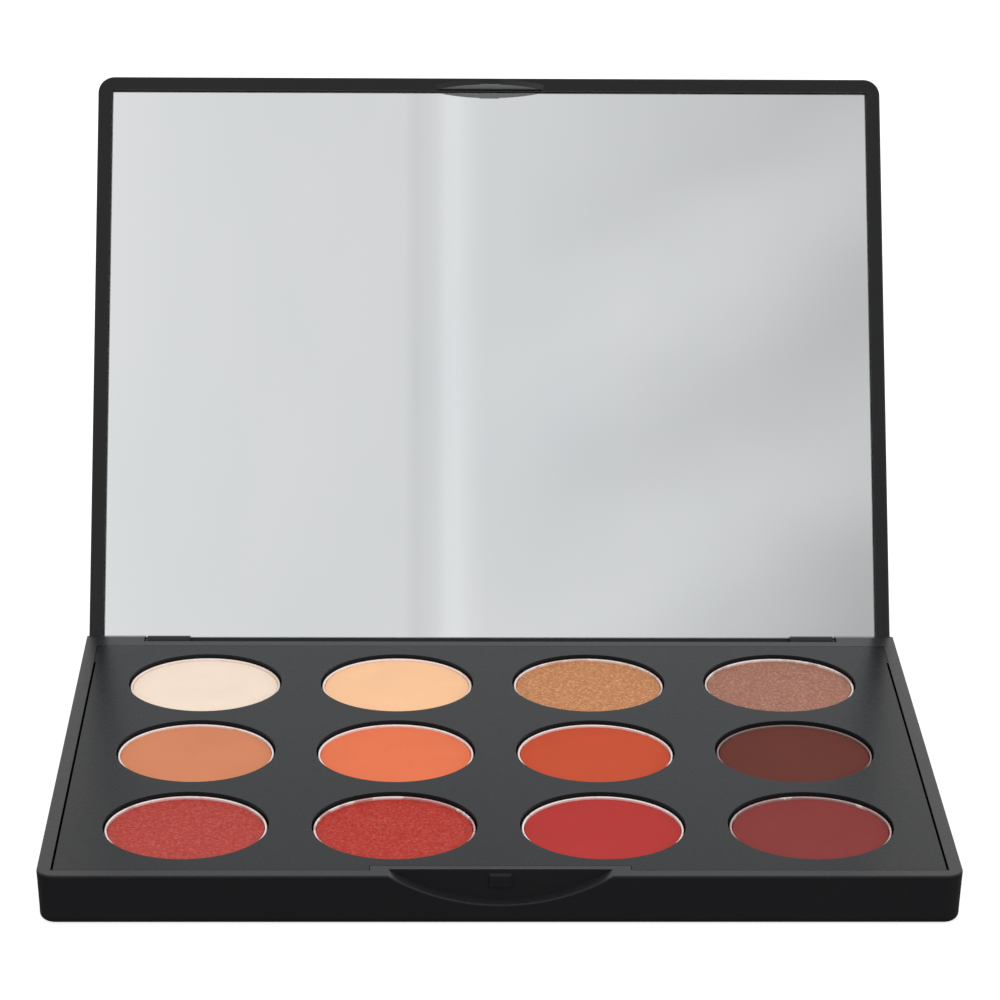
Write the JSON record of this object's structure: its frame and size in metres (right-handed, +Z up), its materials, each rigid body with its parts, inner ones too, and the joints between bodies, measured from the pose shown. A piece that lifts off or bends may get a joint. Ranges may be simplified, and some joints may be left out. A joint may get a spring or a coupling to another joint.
{
  "type": "eyeshadow palette",
  "caption": "Slim hinged makeup case: a tray of round pressed-powder pans in the base and a full mirror in the lid, standing open.",
  "frame": {"origin": "centre of the base's flat underside, on the surface that the palette stands on", "axes": "+Z up, -Y towards the user (the side with the finger scoop), +X to the user's right"},
  "size_m": [0.1448, 0.1635, 0.0985],
  "materials": {
    "soft_touch_black": "soft-touch satin",
    "tray_black": "fine matt",
    "mirror": "polished glass",
    "tape": "foam tape",
    "pin_steel": "drawn wire",
    "label": "matt film",
    "pan_tin": "satin",
    "glue": "clear",
    "shade_front_1": "pressed powder, shimmer",
    "shade_front_2": "pressed powder, shimmer",
    "shade_front_3": "pressed powder, matt",
    "shade_front_4": "pressed powder, matt",
    "shade_middle_1": "pressed powder, matt",
    "shade_middle_2": "pressed powder, matt",
    "shade_middle_3": "pressed powder, matt",
    "shade_middle_4": "pressed powder, matt",
    "shade_back_1": "pressed powder, matt",
    "shade_back_2": "pressed powder, matt",
    "shade_back_3": "pressed powder, shimmer",
    "shade_back_4": "pressed powder, shimmer"
  },
  "bodies": {
    "base": {"base_shell": "soft_touch_black", "tray_insert": "tray_black", "hinge_pin_left": "pin_steel", "hinge_pin_right": "pin_steel", "underside_label": "label", "pan_front_1": "pan_tin", "powder_front_1": "shade_front_1", "pan_glue_front_1": "glue", "pan_front_2": "pan_tin", "powder_front_2": "shade_front_2", "pan_glue_front_2": "glue", "pan_front_3": "pan_tin", "powder_front_3": "shade_front_3", "pan_glue_front_3": "glue", "pan_front_4": "pan_tin", "powder_front_4": "shade_front_4", "pan_glue_front_4": "glue", "pan_middle_1": "pan_tin", "powder_middle_1": "shade_middle_1", "pan_glue_middle_1": "glue", "pan_middle_2": "pan_tin", "powder_middle_2": "shade_middle_2", "pan_glue_middle_2": "glue", "pan_middle_3": "pan_tin", "powder_middle_3": "shade_middle_3", "pan_glue_middle_3": "glue", "pan_middle_4": "pan_tin", "powder_middle_4": "shade_middle_4", "pan_glue_middle_4": "glue", "pan_back_1": "pan_tin", "powder_back_1": "shade_back_1", "pan_glue_back_1": "glue", "pan_back_2": "pan_tin", "powder_back_2": "shade_back_2", "pan_glue_back_2": "glue", "pan_back_3": "pan_tin", "powder_back_3": "shade_back_3", "pan_glue_back_3": "glue", "pan_back_4": "pan_tin", "powder_back_4": "shade_back_4", "pan_glue_back_4": "glue"},
    "lid": {"lid_shell": "soft_touch_black", "mirror": "mirror", "mirror_tape": "tape"}
  },
  "joints": [
    {"name": "lid_hinge", "type": "hinge", "parent": "base", "child": "lid", "pos_m": [0, 0.0521, 0.0064], "axis": [1, 0, 0], "range_deg": [0, 119.5]}
  ]
}
